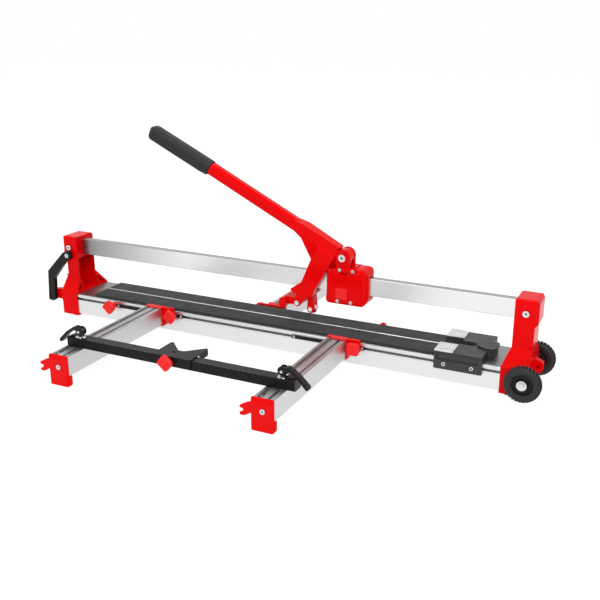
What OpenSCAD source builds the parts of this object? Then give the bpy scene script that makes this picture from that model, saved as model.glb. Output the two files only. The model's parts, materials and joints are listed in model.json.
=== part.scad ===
// Manual tile cutter on an aluminium bed: scoring lever on a rail carriage, sliding side arms
// with a fence, a corner stop and two transport wheels.
// X runs along the guide rail, Y across the bed (the side arms with the fence are at -Y), Z is up.
// The origin is on the floor, under the middle of the rail and on the cutting line.

/* [Bed] */
// Distance between the inner faces of the two tower columns
column_span = 1008; // [700:2:1300]
// Width of the bed extrusion
bed_w = 109; // [96:1:130]
// Height of the bed extrusion
bed_h = 46; // [40:1:60]
// Gap between the floor and the bed
bed_clear = 8.8; // [8:0.2:14]
// Wall of the bed extrusion
bed_wall = 2.6; // [2:0.1:3.2]
// Mouth height of the T-slots along both sides of the bed
slot_mouth = 5.6; // [4.6:0.1:7]
// Thickness of the rubber faced pads that carry the tile
pad_h = 6; // [4:0.5:9]
// Outer width over both pads
pad_w = 98; // [80:1:104]
// Distance from the left column to the left end of the pads
pad_inset = 60; // [30:1:120]

/* [Rail and towers] */
// Height of the guide rail above the bed
rail_lift = 84.2; // [76:0.2:110]
// Height of the guide rail
rail_h = 36; // [30:1:44]
// Width of the guide rail
rail_w = 16.8; // [14:0.2:18]
// Metal above the rail in the tower heads
head_cap = 8; // [6:0.5:14]
// Outer depth of a tower head along the rail
tower_depth = 43.5; // [40:0.5:54]
// Width of a tower column
column_w = 60; // [54:1:70]
// Wall of the tower castings
tower_wall = 4; // [3:0.5:5]
// Height of the four rubber feet
foot_h = 4; // [3:0.5:6]

/* [Transport wheels] */
// Radius of a tyre
tyre_r = 35.2; // [30:0.2:38]
// Width of a tyre
tyre_w = 16.5; // [12:0.5:22]
// Number of tread lugs on a tyre
tread_lugs = 30; // [20:1:40]
// Radius of the axle bolts
axle_r = 4; // [3:0.5:5]

/* [Carriage and lever] */
// Place of the carriage's middle on the rail
carriage_x = 166; // [-200:1:190]
// Length of the carriage along the rail
carriage_l = 92; // [84:1:110]
// Radius of the four ball bearings that run on the rail
bearing_r = 8; // [7:0.5:8.5]
// Radius of the lever's pivot bolt
pivot_r = 5; // [4:0.5:6]
// Slope of the raised lever above the horizontal
lever_slope = 26.6; // [20:0.1:34]
// Length of the lever from the pivot to the end of the grip
lever_l = 506; // [420:1:600]
// Length of the rubber grip
grip_l = 164; // [120:1:200]
// Depth and width of the lever bar
bar_d = 24; // [20:0.5:28]
// Travel of the lever up to its stop, in degrees
lever_raise = 4; // [2:1:5]
// Travel of the lever down to the tile, in degrees
lever_drop = 12; // [8:1:13]
// Radius of the cutting wheel
cutter_r = 11; // [9:0.5:12]

/* [Side arms and fence] */
// Place of the left front arm's middle
arm_left_x = -271.5; // [-300:0.5:-240]
// Place of the right front arm's middle
arm_right_x = 166.5; // [120:0.5:190]
// Place of the rear arm's middle
arm_rear_x = -31.5; // [-60:0.5:100]
// Length of an arm extrusion
arm_l = 317.5; // [240:0.5:400]
// Width of an arm extrusion
arm_w = 40.6; // [38:0.2:46]
// Height of an arm extrusion
arm_h = 40; // [36:0.5:41]
// Depth of the fence tube across its length
fence_d = 24; // [20:0.5:30]
// Height of the fence tube
fence_h = 19; // [16:0.5:24]
// Distance from the bed to the fence's middle
fence_y = 262.5; // [150:0.5:264]
// Place of the sliding stop's middle on the fence
stop_x = -46; // [-160:1:60]
// Width of a clamping knob
knob_w = 26; // [22:0.5:28]

/* [Hidden] */
$fn = 64;
e = 0.01;                      // overlap that only keeps cuts clean
gap = 0.3;                     // clearance between pieces that pass each other
fit = 0.05;                    // radial running clearance of pins and shafts

bed_top = bed_clear + bed_h;
pad_top = bed_top + pad_h;
rail_z0 = bed_top + rail_lift;
rail_z1 = rail_z0 + rail_h;
half_rail = rail_w / 2;
half_bed = bed_w / 2;
column_in = column_span / 2;   // inner face of a column
tower_out = column_in + tower_depth;
toe_in = column_in - 12;       // inner face of the wide tower foot
half_tower = half_bed + 2.5;   // half width of the tower foot
half_column = column_w / 2;
ledge_z = bed_top + 2.4;       // lower edge of the sloping ledges
shoulder_z = ledge_z + 33;     // upper edge of the sloping ledges
head_z = rail_z1 + head_cap;
waist = 6;                     // how far a column stands back under its head
corner_cut = 7.5;              // chamfer on the outer vertical edges of a tower
back_out = tower_out - waist;
bed_end = column_in + 16;
rail_end = column_in + 28;
head_bolt = [column_in + 21, rail_z0 + rail_h / 2];
head_bolt_r = 4;

slot_z = bed_top - 9.8;        // middle of the bed's side slots
slot_lip = 3;
slot_deep = 5;
slot_wide = slot_mouth + 5.4;

pad_x0 = -column_in + pad_inset;
stop_x0 = column_in - 138;     // front edge of the corner stop
stop_mid = stop_x0 + 36;       // where its solid block starts
stop_x1 = stop_mid + 56;
half_stop = half_bed + 7.5;
stop_top = pad_top + 9;

axle = [column_in + 32.4, tyre_r + 0.2];
wheel_y = half_tower + 3.5;    // inner face of a wheel
hub_r = tyre_r * 0.6;

half_carriage = 24;
carriage_x0 = carriage_x - carriage_l / 2;
carriage_x1 = carriage_x + carriage_l / 2;
carriage_z0 = rail_z0 - 22.5;
carriage_z1 = rail_z1 + 20;
seat_z = rail_z1 + 2 * bearing_r + 0.4;      // underside of the pivot bracket's bridge
cover_wall = 2.6;
bearing_w = 5;
bearing_bore = 2.5;
bearing_dx = 17;
bearing_spots = [for (side = [-1, 1]) for (z = [rail_z0 - bearing_r - fit, rail_z1 + bearing_r + fit])
    [carriage_x + side * bearing_dx, z]];
cover_screws = [[carriage_x - 17, carriage_z0 + 7.6], [carriage_x + 12, carriage_z0 + 7.6],
    [carriage_x - 14, carriage_z1 - 6], [carriage_x + 14, carriage_z1 - 6]];
cover_screw_r = 2;

pivot = [carriage_x - 10, rail_z1 + 38];
ear_r = 16.5;
ear_in = 10;                   // inner face of the pivot ears
ear_out = 15;
hub_half = ear_in - gap;
leg_out = 21;                  // outer face of the lever's two legs
leg_in = half_rail + 2;        // inner face, clear of the rail
heel = [pivot[0] - 78, rail_z0 - 21];        // reference point of the lever's foot
cutter = [heel[0] + 5, heel[1] - 26];        // centre of the cutting wheel
breaker = [heel[0] - 20, heel[1] - 12];      // pin of the breaker foot
breaker_half = 24;
pin_r = 3;

arm_z1 = pad_top + 0.2;        // arms lie level with the pads
arm_z0 = arm_z1 - arm_h;
arm_y0 = half_bed + 1;         // inner end of an arm, measured from the cutting line
arm_y1 = arm_y0 + arm_l;
cap_y1 = arm_y1 + 5.5;
arm_wall = 2.2;
arm_slot = [arm_w / 2 - 11.1, 5];            // middle and mouth of the T-slot in an arm's top
scale_slot = [6 - arm_w / 2, 10];            // left edge and width of the scale recess
bar_long = [-130.5, 68.5];     // ends of the left guide bar, from the arm's middle
bar_short = [-103.5, 55.5];    // ends of the other two guide bars
knob_left = 43.5;              // clamping knobs, measured to the right from the arm's middle
knob_right = 36.5;
knob_rear = 40;
knob_d = 8;
stud_r = 2.6;
ear_t = 6;                     // thickness of the bracket's knob ear
outer_knob = -115.5;           // second knob of the left arm, at the bar's far end
slot_knob_rear_x = 218;

fence_z0 = arm_z1 + gap;
fence_z1 = fence_z0 + fence_h;
fence_mid = -half_bed - fence_y;             // Y of the fence's middle line
clamp_left_x = arm_left_x + arm_slot[0];
clamp_right_x = arm_right_x + arm_slot[0];
fence_x0 = clamp_left_x - 25.5;
fence_x1 = clamp_right_x + 28;
cam_z = fence_z1 + 11.8;
cam_r = 9;
plate_t = 1.8;
lip_y = fence_mid - fence_d / 2 - gap;       // inner face of the stop's folded lip
stop_knob_x = stop_x - 9.5;

red = [0.86, 0.02, 0.03];
dark = [0.13, 0.13, 0.14];
alu = [0.8, 0.8, 0.81];
steel = [0.7, 0.71, 0.73];

// ---------------------------------------------------------------- helpers

function unit(v) = v / norm(v);
function pick(r, i) = is_list(r) ? r[i] : r;
function between(a, b, t) = a + (b - a) * t;
// A point [x, z] turned about the Y axis
function turned(v, a) = [v[0] * cos(a) + v[1] * sin(a), v[1] * cos(a) - v[0] * sin(a)];
// Positive for an outline whose points run anticlockwise
function winding(pts) = [for (i = [0 : len(pts) - 1]) cross(pts[i], pts[(i + 1) % len(pts)])]
    * [for (p = pts) 1];
// Mirror a half outline, given upwards on the +side, into a closed symmetric one
function mirrored(half) = concat(half, [for (i = [len(half) - 1 : -1 : 0]) [-half[i][0], half[i][1]]]);

// Polygon with true arcs at its corners; r is one radius or a list with one for each corner
module rounded(pts, r) {
    n = len(pts);
    turn = sign(winding(pts));
    back = [for (i = [0 : n - 1]) unit(pts[(i + n - 1) % n] - pts[i])];
    ahead = [for (i = [0 : n - 1]) unit(pts[(i + 1) % n] - pts[i])];
    half = [for (i = [0 : n - 1]) acos(back[i] * ahead[i]) / 2];
    reach = [for (i = [0 : n - 1]) pick(r, i) / tan(half[i])];
    centre = [for (i = [0 : n - 1]) pts[i] + unit(back[i] + ahead[i]) * pick(r, i) / sin(half[i])];
    first = [for (i = [0 : n - 1]) pts[i] + back[i] * reach[i]];
    last = [for (i = [0 : n - 1]) pts[i] + ahead[i] * reach[i]];
    difference() {
        union() {
            polygon([for (i = [0 : n - 1]) each pick(r, i) > 0 ? [first[i], last[i]] : [pts[i]]]);
            for (i = [0 : n - 1])
                if (pick(r, i) > 0 && turn * cross(back[i], ahead[i]) < 0)
                    arc_cap(centre[i], first[i], last[i], pts[i]);
        }
        for (i = [0 : n - 1])
            if (pick(r, i) > 0 && turn * cross(back[i], ahead[i]) > 0)
                arc_cap(centre[i], first[i], last[i], pts[i]);
    }
}

// Cap of the circle around c beyond the chord from a to b, towards the corner p
module arc_cap(c, a, b, p) {
    r = norm(a - c);
    past_a = unit(a - p) * r * 0.3;
    past_b = unit(b - p) * r * 0.3;
    intersection() {
        translate(c) circle(r);
        polygon([between(a, c, 0.2) + past_a, between(c, a, 1.4) + past_a, between(c, p, 1.6),
            between(c, b, 1.4) + past_b, between(b, c, 0.2) + past_b]);
    }
}

module rounded_box(x0, x1, y0, y1, r) {
    rounded([[x0, y0], [x1, y0], [x1, y1], [x0, y1]], r);
}

// Outline drawn in X and Z, extruded from y0 to y1
module across(y0, y1) {
    translate([0, y1, 0]) rotate([90, 0, 0]) linear_extrude(y1 - y0) children();
}

// Outline drawn in Y and Z, extruded from x0 to x1
module along(x0, x1) {
    translate([x0, 0, 0]) rotate([90, 0, 90]) linear_extrude(x1 - x0) children();
}

module block(x0, x1, y0, y1, z0, z1) {
    translate([x0, y0, z0]) cube([x1 - x0, y1 - y0, z1 - z0]);
}

// Round bar along Y at p = [x, z]
module pin_y(p, y0, y1, r) {
    translate([p[0], y1, p[1]]) rotate([90, 0, 0]) cylinder(r = r, h = y1 - y0);
}

module both_sides() {
    children();
    mirror([0, 1, 0]) children();
}

// Domed screw head on a face at y, looking towards -Y; depth is its height
module head_y(p, y, r, h) {
    difference() {
        pin_y(p, y - h, y, r);
        pin_y(p, y - h - e, y - h * 0.45, r * 0.5);
    }
}

// T-slot cut: mouth, lip depth, inner width and inner depth, opening towards +Y of the outline
module t_slot(mouth, lip, wide, deep) {
    translate([-mouth / 2, -lip - e]) square([mouth, lip + 2 * e]);
    translate([-wide / 2, -lip - deep]) square([wide, deep]);
}

// Soft-cornered clamping knob on a round neck, with its stud; its face looks to -Y, it turns about Y
module knob(x, z, back_y, neck, stud_end_y, turn) {
    bevel = 2.5;
    crown = [[-knob_w / 2, 0], [knob_w / 2, 0], [knob_w / 2, knob_d - bevel],
        [knob_w / 2 - bevel, knob_d], [bevel - knob_w / 2, knob_d], [-knob_w / 2, knob_d - bevel]];
    translate([x, back_y - neck, z]) rotate([90, turn, 0]) {
        intersection() {
            linear_extrude(knob_d) rounded_box(-knob_w / 2, knob_w / 2, -knob_w / 2, knob_w / 2, 7);
            rotate([90, 0, 0]) translate([0, 0, -knob_w]) linear_extrude(2 * knob_w) rounded(crown, 1);
            rotate([90, 0, 90]) translate([0, 0, -knob_w]) linear_extrude(2 * knob_w) rounded(crown, 1);
        }
        translate([0, 0, back_y - neck - stud_end_y]) cylinder(r = stud_r, h = stud_end_y - back_y + neck + 1);
        if (neck > 0) translate([0, 0, -neck]) cylinder(r = 6.5, h = neck + 1);
    }
}

// ---------------------------------------------------------------- bed

module slot_cut_bed() {
    translate([-half_bed, slot_z]) rotate(90) t_slot(slot_mouth, slot_lip, slot_wide, slot_deep);
}

module base_beam() {
    slot_back = half_bed - slot_lip - slot_deep - bed_wall;  // inside of the wall behind a slot
    rib = slot_back * 0.44;
    z0 = bed_clear + bed_wall;
    z1 = bed_top - bed_wall;
    low_z = slot_z - slot_wide / 2 - bed_wall;
    color(alu) along(-bed_end, bed_end) difference() {
        rounded_box(-half_bed, half_bed, bed_clear, bed_top, 1);
        slot_cut_bed();
        mirror([1, 0]) slot_cut_bed();
        translate([-rib, z0]) square([2 * rib, z1 - z0]);
        for (side = [0, 1]) mirror([side, 0]) {
            translate([rib + bed_wall, z0]) square([slot_back - rib - bed_wall, z1 - z0]);
            translate([slot_back - e, z0]) square([half_bed - bed_wall - slot_back, low_z - z0]);
            // grip lines along the edge of the top and above the slot
            for (i = [0 : 1]) translate([half_bed - 2.6 - 1.9 * i, bed_top - 0.5]) square([0.9, 1]);
            translate([half_bed - 0.4, slot_z + slot_mouth / 2 + 2.4]) square([1, 0.8]);
            translate([half_bed - 0.4, slot_z - slot_mouth / 2 - 2]) square([1, 0.8]);
        }
    }
}

module pads() {
    color(dark) both_sides()
        along(pad_x0, stop_x0 - gap) rounded_box(2, pad_w / 2, bed_top, pad_top, [0, 0, 1.2, 0.8]);
}

module breaking_bead() {
    color(steel) along(pad_x0, stop_x0 - gap) {
        translate([-1.4, bed_top]) square([2.8, pad_h - 0.6]);
        translate([0, pad_top - 0.6]) circle(1.4);
    }
}

// ---------------------------------------------------------------- towers

// Plan of a tower with its two outer corners cut off at 45 degrees
module tower_plan(outer, half) {
    polygon([[toe_in, -half], [outer - corner_cut, -half], [outer, corner_cut - half], [outer, half - corner_cut],
        [outer - corner_cut, half], [toe_in, half]]);
}

// Cuts the corner between the outer face and the sloping ledge
module ledge_cut() {
    c = corner_cut - 1.5;
    slope = atan2(shoulder_z - ledge_z, half_tower - half_column);
    translate([back_out, -half_column, shoulder_z]) rotate([90 + slope, 0, 0])
        linear_extrude(norm([shoulder_z - ledge_z, half_tower - half_column]))
            polygon([[-c, 0], [0, -c], [c, -c], [c, c], [-c, c]]);
}

// Right-hand tower; the left one is the same casting turned half round, with a longer handle lug
module tower(lug_l) {
    side = [[toe_in, foot_h], [toe_in, ledge_z], [column_in, shoulder_z], [column_in, head_z],
        [tower_out, head_z], [tower_out, rail_z0 - 2], [back_out, rail_z0 - 9],
        [back_out, foot_h + 8], [back_out - 8, foot_h]];
    front = mirrored([[half_tower, foot_h], [half_tower, ledge_z], [half_column, shoulder_z],
        [half_column, head_z]]);
    inner = half_column - tower_wall;
    floor_z = bed_top + 4;
    roof_z = rail_z0 - 6;
    color(red) difference() {
        union() {
            intersection() {
                across(-half_tower, half_tower) rounded(side, [1, 2, 3, 2, 9, 2, 3, 2, 2]);
                along(toe_in - 1, tower_out + 1) rounded(front, [1.5, 3, 4, 6, 6, 4, 3, 1.5]);
                union() {
                    linear_extrude(head_z) tower_plan(back_out, half_column);
                    linear_extrude(shoulder_z) tower_plan(back_out, half_tower);
                    translate([0, 0, rail_z0 - 9]) linear_extrude(head_z) tower_plan(tower_out, half_column);
                }
            }
            across(half_column - 14, half_column)
                rounded([[back_out - 6, 27], [back_out + lug_l - 2, 27], [back_out + lug_l, 34],
                    [back_out + lug_l, 47], [back_out - 6, 58]], [0, 3, 4, 3, 0]);
        }
        both_sides() ledge_cut();
        // open column, seen from the rail side
        along(toe_in - 2, back_out - tower_wall)
            rounded(mirrored([[inner, floor_z], [inner, roof_z]]), [1, 6, 6, 1]);
        // hollow ledges beside the column
        for (m = [0, 1]) mirror([0, m, 0]) along(toe_in - 2, back_out - tower_wall)
            rounded([[half_column, floor_z], [half_tower - 8, floor_z], [half_column, shoulder_z - 12]], 1);
        // sockets for the bed and the rail
        block(toe_in - 1, bed_end + 0.2, -half_bed - 0.1, half_bed + 0.1, bed_clear - 0.1, bed_top + 0.1);
        block(column_in - 13, rail_end + 0.2, -half_rail - 0.1, half_rail + 0.1, rail_z0 - 0.1, rail_z1 + 0.1);
        // cross bolt of the rail, with seats for its head and nut
        pin_y(head_bolt, -half_tower, half_tower, head_bolt_r + 0.2);
        both_sides() pin_y(head_bolt, -half_column - e, 1 - half_column, 7.5);
        // core holes beside the rail and set screw holes in the top
        for (y = [-18, 18]) {
            translate([column_in - 1, y, rail_z0 + 15]) rotate([0, 90, 0]) cylinder(r = 4.2, h = 14);
            translate([column_in + 12, y * 1.2, rail_z1 + 1]) cylinder(r = 3.4, h = head_cap);
        }
        // wheel axles, rubber foot pegs and the handle's lower bolt
        both_sides() pin_y(axle, -half_tower - 1, -half_tower + 16, axle_r);
        for (y = [-1, 1]) translate([toe_in + 14, y * (half_bed - 12), foot_h - 1]) cylinder(r = 3, h = 4);
        pin_y([back_out + lug_l - 9, 38], half_column - 15, half_column + 1, 3.1);
        pin_y([-handle_top[0], handle_top[1]], half_column - 12, half_column + 1, 3.1);
    }
}

module tower_right() { tower(15); }
module tower_left() { rotate([0, 0, 180]) tower(lug_long); }

module guide_rail() {
    color(alu) difference() {
        along(-rail_end, rail_end) difference() {
            rounded_box(-half_rail, half_rail, rail_z0, rail_z1, 1.2);
            for (z = [rail_z0 + 4, rail_z0 + rail_h / 2 + 1.5])
                translate([3.4 - half_rail, z]) square([rail_w - 6.8, rail_h / 2 - 5.5]);
        }
        for (s = [-1, 1]) pin_y([s * head_bolt[0], head_bolt[1]], -rail_w, rail_w, head_bolt_r + 0.2);
    }
}

module frame_bolt(x) {
    tip = 30 + 3;
    pin_y([x, head_bolt[1]], -half_column + 1, half_column - 1, head_bolt_r);
    head_y([x, head_bolt[1]], 1 - half_column, 6.2, 4.5);
    pin_y([x, head_bolt[1]], half_column - 1, half_column + 3.5, 6);
}

module handle_bolts() {
    pin_y(handle_top, 3 - handle_y, 12 - half_column, 3);
    head_y(handle_top, 3 - handle_y, 5, 3);
    // the lower one comes from behind
    pin_y(handle_low, 5 - handle_y, 15 - half_column, 3);
    pin_y(handle_low, 14 - half_column, 17.5 - half_column, 5.2);
}

module frame_bolts() {
    color(steel) {
        frame_bolt(head_bolt[0]);
        frame_bolt(-head_bolt[0]);
        handle_bolts();
    }
}

module rubber_feet() {
    color(dark) for (s = [-1, 1]) for (y = [-1, 1])
        translate([s * (toe_in + 14), y * (half_bed - 12), 0]) {
            cylinder(r1 = 8, r2 = 9, h = foot_h, $fn = 48);
            translate([0, 0, foot_h - e]) cylinder(r = 2.9, h = 2.6);
        }
}

// ---------------------------------------------------------------- carry handle

handle_y = half_column + 11;   // front face of the handle, in front of the column
handle_w = 17.2;
handle_top = [15 - back_out, rail_z0 + 0.5];
handle_knee = [-back_out - 44.5, 96];
handle_end = [-back_out - 49.5, 24];
lug_long = 48;
handle_low = [9 - back_out - lug_long, 38];

module carry_handle() {
    color(dark) difference() {
        across(-handle_y, -half_column - gap) {
            rounded([handle_top + [-8.6, 8.4], handle_knee, handle_end, handle_end + [18, -1],
                handle_knee + [16.5, -16.5], handle_top + [3.8, -3.5]], [4, 6, 4, 5, 6, 0]);
            translate(handle_top) circle(10.5);
        }
        pin_y(handle_top, -handle_y - 1, -half_column, 3.05);
        pin_y(handle_top, -handle_y - e, 3 - handle_y, 5.8);
        pin_y(handle_low, 4.5 - handle_y, -half_column, 3.05);
        // sunk panel above the lower end
        across(-handle_y - e, 1.6 - handle_y)
            rounded([handle_end + [3.5, 4], handle_end + [14, 4], handle_end + [14, 22], handle_end + [4.5, 22]], 2);
    }
}

// ---------------------------------------------------------------- transport wheels

module tyre(side) {
    shoulder = tyre_r - 4;
    color(dark) translate([axle[0], side * (wheel_y + tyre_w / 2), axle[1]]) rotate([90, 0, 0]) difference() {
        rotate_extrude($fn = 96) rounded([[hub_r, -tyre_w / 2 + 1.5], [shoulder - 3, -tyre_w / 2],
            [tyre_r, -tyre_w / 2 + 3.5], [tyre_r, tyre_w / 2 - 3.5], [shoulder - 3, tyre_w / 2],
            [hub_r, tyre_w / 2 - 1.5]], [0, 2, 2.5, 2.5, 2, 0]);
        for (i = [0 : tread_lugs - 1]) rotate(360 * i / tread_lugs)
            translate([tyre_r + 0.3, 0, 0]) rotate([24, 0, 0]) cube([6.4, 3, tyre_w * 1.5], center = true);
    }
}

module hub(side) {
    w = tyre_w / 2;
    color(dark) translate([axle[0], side * (wheel_y + w), axle[1]]) rotate([90, 0, 0])
        rotate_extrude($fn = 96) difference() {
            rounded([[axle_r + fit, -w + 0.5], [10.5, -w + 0.5], [12, -2.5], [hub_r - 3, -2.5], [hub_r - 2.5, -w + 1.5],
                [hub_r, -w + 1.5], [hub_r, w - 1.5], [hub_r - 2.5, w - 1.5], [hub_r - 3, 2.5], [12, 2.5],
                [10.5, w - 0.5], [axle_r + fit, w - 0.5]], [0, 1, 2, 2, 0.4, 0, 0, 0.4, 2, 2, 1, 0]);
        }
}

module tyre_front() { tyre(-1); }
module tyre_rear() { tyre(1); }
module hub_front() { hub(-1); }
module hub_rear() { hub(1); }

module axle_bolts() {
    y = wheel_y + tyre_w;
    color(steel) both_sides() {
        pin_y(axle, -y - 2, -half_tower + 14, axle_r);
        difference() {
            pin_y(axle, -y - 1.4, -y + 0.2, 9.5);
            pin_y(axle, -y - 2, -y + 1, axle_r - e);
        }
        translate([axle[0], -y - 1.4, axle[1]]) rotate([90, 0, 0]) cylinder(r = 6.5, h = 4, $fn = 6);
    }
}

// ---------------------------------------------------------------- corner stop

module corner_stop() {
    finger = 19;
    z0 = bed_top + 0.1;
    screw_z = bed_top - 10.5;
    side = half_bed + gap;
    color(dark) difference() {
        union() {
            block(stop_mid, stop_x1, -half_stop, half_stop, z0, stop_top);
            block(stop_x0, stop_mid + e, -finger - e, finger + e, z0, pad_top);
            both_sides() {
                block(stop_x0, stop_mid + e, finger, half_stop, z0, stop_top);
                along(stop_x0, stop_x1) rounded_box(side, half_stop, bed_top - 21, stop_top, [1.5, 1.5, 0, 0]);
            }
        }
        // run-out slot for the cutting wheel
        translate([0, 0, pad_top]) linear_extrude(stop_top) {
            translate([stop_mid - 1, -10]) square([21, 20]);
            translate([stop_mid + 20, 0]) circle(10);
        }
        // framed recess in each side plate
        both_sides() across(half_stop - 3.2, half_stop + 1)
            rounded_box(stop_x0 + 5, stop_x1 - 7, bed_top - 2.5, stop_top - 2.2, 1.5);
        both_sides() for (x = [stop_x0 + 19, stop_x1 - 19]) {
            pin_y([x, screw_z], -half_stop - 1, -half_bed + 5, 2.6);
            pin_y([x, screw_z], -half_stop - e, -half_stop + 2.6, 4.6);
        }
    }
}

module corner_plates() {
    color(steel) both_sides() translate([0, 0, stop_top]) linear_extrude(2.2)
        rounded_box(stop_x0, stop_mid, 19, half_stop, 0.8);
}

module corner_index() {
    color(dark) {
        translate([0, 0, stop_top]) linear_extrude(3.8)
            rounded([[stop_x1 - 23, 8], [stop_x1 - 16, 19], [stop_x1 + 11, 21], [stop_x1 + 15, 16],
                [stop_x1 + 15, -14], [stop_x1 + 10, -20], [stop_x1 - 7, -20], [stop_x1 - 23, -10]], 1.5);
        translate([0, 0, bed_top + 0.1]) linear_extrude(stop_top - bed_top) difference() {
            rounded([[stop_x1, -18], [stop_x1 + 13, -15], [stop_x1 + 13, 16], [stop_x1, 18]], [0, 2, 2, 0]);
            translate([stop_x1 + 7, -24]) circle(8);
            translate([stop_x1 + 7, 24]) circle(8);
        }
    }
}

// ---------------------------------------------------------------- carriage

// Outer form: the common solid of the three rounded views
module carriage_form(shrink) {
    x0 = carriage_x0 + shrink;
    x1 = carriage_x1 - shrink;
    y = half_carriage - shrink;
    z0 = carriage_z0 + shrink;
    z1 = carriage_z1 - shrink;
    intersection() {
        across(-y, y) rounded_box(x0, x1, z0, z1, [16, 18, 18, 13]);
        along(x0, x1) rounded_box(-y, y, z0, z1, [7, 7, 13, 13]);
        linear_extrude(z1) rounded_box(x0, x1, -y, y, 12);
    }
}

module carriage_shell() {
    difference() {
        union() {
            difference() {
                carriage_form(0);
                carriage_form(cover_wall);
            }
            // screw bosses and stand-offs that hold the bearing pins
            intersection() {
                carriage_form(1);
                union() {
                    for (p = cover_screws) pin_y(p, -half_carriage, half_carriage, 4.6);
                    for (p = bearing_spots) both_sides() pin_y(p, -half_carriage, -bearing_w / 2 - 0.6, 4.5);
                }
            }
        }
        // passage for the rail
        block(carriage_x0 - 1, carriage_x1 + 1, -half_rail - 0.8, half_rail + 0.8, rail_z0 - 0.8, rail_z1 + 0.8);
        for (p = bearing_spots) {
            pin_y(p, -bearing_w / 2 - 0.6, bearing_w / 2 + 0.6, bearing_r + 0.8);
            pin_y(p, -half_carriage + 4, half_carriage - 4, bearing_bore);
        }
        for (p = cover_screws) {
            pin_y(p, -half_carriage - 1, half_carriage + 1, cover_screw_r);
            both_sides() pin_y(p, -half_carriage - 1, 2.4 - half_carriage, 4);
        }
        leg_pocket();
        bracket_seat();
    }
}

// Room for the lowered lever legs behind the front and rear walls
module leg_pocket() {
    across(-leg_out - 0.5, leg_out + 0.5) intersection() {
        translate(pivot) rotate(lever_drop + 1) translate(-pivot) polygon([pivot + [-10, 4],
            heel + [24, 16], heel + [-60, 20], pivot + [-100, 10]]);
        translate([carriage_x0 - 1, carriage_z0 + 8]) square([40, carriage_z1]);
    }
}

module carriage_front() {
    color(red) {
        intersection() {
            carriage_shell();
            block(carriage_x0 - 1, carriage_x1 + 1, -half_carriage - 1, 0, 0, carriage_z1 + 1);
        }
        // raised square on the front
        across(-half_carriage - 2.8, e - half_carriage)
            rounded_box(carriage_x - 20, carriage_x + 5, carriage_z0 + 12.5, carriage_z0 + 35, 5);
    }
}

module carriage_rear() {
    color(red) intersection() {
        carriage_shell();
        block(carriage_x0 - 1, carriage_x1 + 1, 0, half_carriage + 1, 0, carriage_z1 + 1);
    }
}

// Space that the pivot bracket fills in the carriage's top
module bracket_seat() {
    both_sides() across(ear_in - gap, half_carriage + 1)
        rounded([[carriage_x - 25, carriage_z1 + 2], [carriage_x - 25, carriage_z1 - 9],
            [carriage_x - 8, carriage_z1 - 14], [carriage_x + 6, carriage_z1 - 14],
            [carriage_x + 21, carriage_z1 - 9], [carriage_x + 21, carriage_z1 + 2]], [0, 3, 9, 9, 3, 0]);
    block(carriage_x0 - 1, carriage_x + 21, -ear_in, ear_in, seat_z, carriage_z1 + 1);
}

module pivot_bracket() {
    flange = [[carriage_x - 24.6, carriage_z1 - 0.5], [carriage_x - 24.6, carriage_z1 - 8.6],
        [carriage_x - 8, carriage_z1 - 13.5], [carriage_x + 6, carriage_z1 - 13.5],
        [carriage_x + 20.6, carriage_z1 - 8.6], [carriage_x + 20.6, carriage_z1 - 1]];
    color(red) difference() {
        union() {
            both_sides() {
                // ears around the pivot
                across(ear_in, ear_out) {
                    translate(pivot) circle(ear_r);
                    translate([pivot[0] - 15, carriage_z1 - 6]) square([31, pivot[1] - carriage_z1 + 6]);
                }
                across(ear_in, 19) rounded(flange, [4, 3, 9, 9, 3, 4]);
                pin_y(pivot, -ear_out - 1.2, -ear_out + e, 11);
            }
            block(pivot[0] - 11.5, carriage_x + 18, -ear_in - e, ear_in + e, seat_z + 0.1, carriage_z1 + 0.2);
        }
        pin_y(pivot, -ear_out - 2, ear_out + 2, pivot_r + fit);
        for (p = cover_screws) pin_y(p, -half_carriage, half_carriage, cover_screw_r);
        for (p = bearing_spots) pin_y(p, -half_carriage, half_carriage, bearing_bore + 0.2);
    }
}

module carriage_screws() {
    color(steel) for (i = [0 : 3]) {
        p = cover_screws[i];
        seat = i < 2 ? half_carriage - 2.4 : 19;
        both_sides() {
            pin_y(p, -seat, 13 - seat, cover_screw_r);
            head_y(p, -seat, 3.4, 2.4);
        }
    }
}

module roller_pins() {
    color(steel) for (p = bearing_spots)
        pin_y(p, -half_carriage + 5, half_carriage - 5, bearing_bore);
}

module pivot_bolt() {
    color(steel) {
        pin_y(pivot, -ear_out - 1.2, ear_out + 1.2, pivot_r);
        head_y(pivot, -ear_out - 1.2, 7.5, 4.5);
        translate([pivot[0], ear_out + 6.2, pivot[1]]) rotate([90, 0, 0]) cylinder(r = 7.5, h = 5, $fn = 6);
    }
}

// Ball bearing: outer ring with a groove on each face, around its pin
module roller(p) {
    w = bearing_w / 2;
    color(steel) translate([p[0], 0, p[1]]) rotate([90, 0, 0]) rotate_extrude()
        polygon([[bearing_bore + fit, -w], [bearing_bore + 2, -w], [bearing_bore + 2, -w + 0.5],
            [bearing_r - 1.8, -w + 0.5], [bearing_r - 1.8, -w], [bearing_r - 0.4, -w], [bearing_r, -w + 0.4],
            [bearing_r, w - 0.4], [bearing_r - 0.4, w], [bearing_r - 1.8, w], [bearing_r - 1.8, w - 0.5],
            [bearing_bore + 2, w - 0.5], [bearing_bore + 2, w], [bearing_bore + fit, w]]);
}

module roller_lower_left() { roller(bearing_spots[0]); }
module roller_upper_left() { roller(bearing_spots[1]); }
module roller_lower_right() { roller(bearing_spots[2]); }
module roller_upper_right() { roller(bearing_spots[3]); }

// ---------------------------------------------------------------- lever

// Place s along the lever bar and w above its middle line, as [x, z]
function on_bar(s, w) = pivot + s * [-cos(lever_slope), sin(lever_slope)]
    + w * [sin(lever_slope), cos(lever_slope)];

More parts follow.
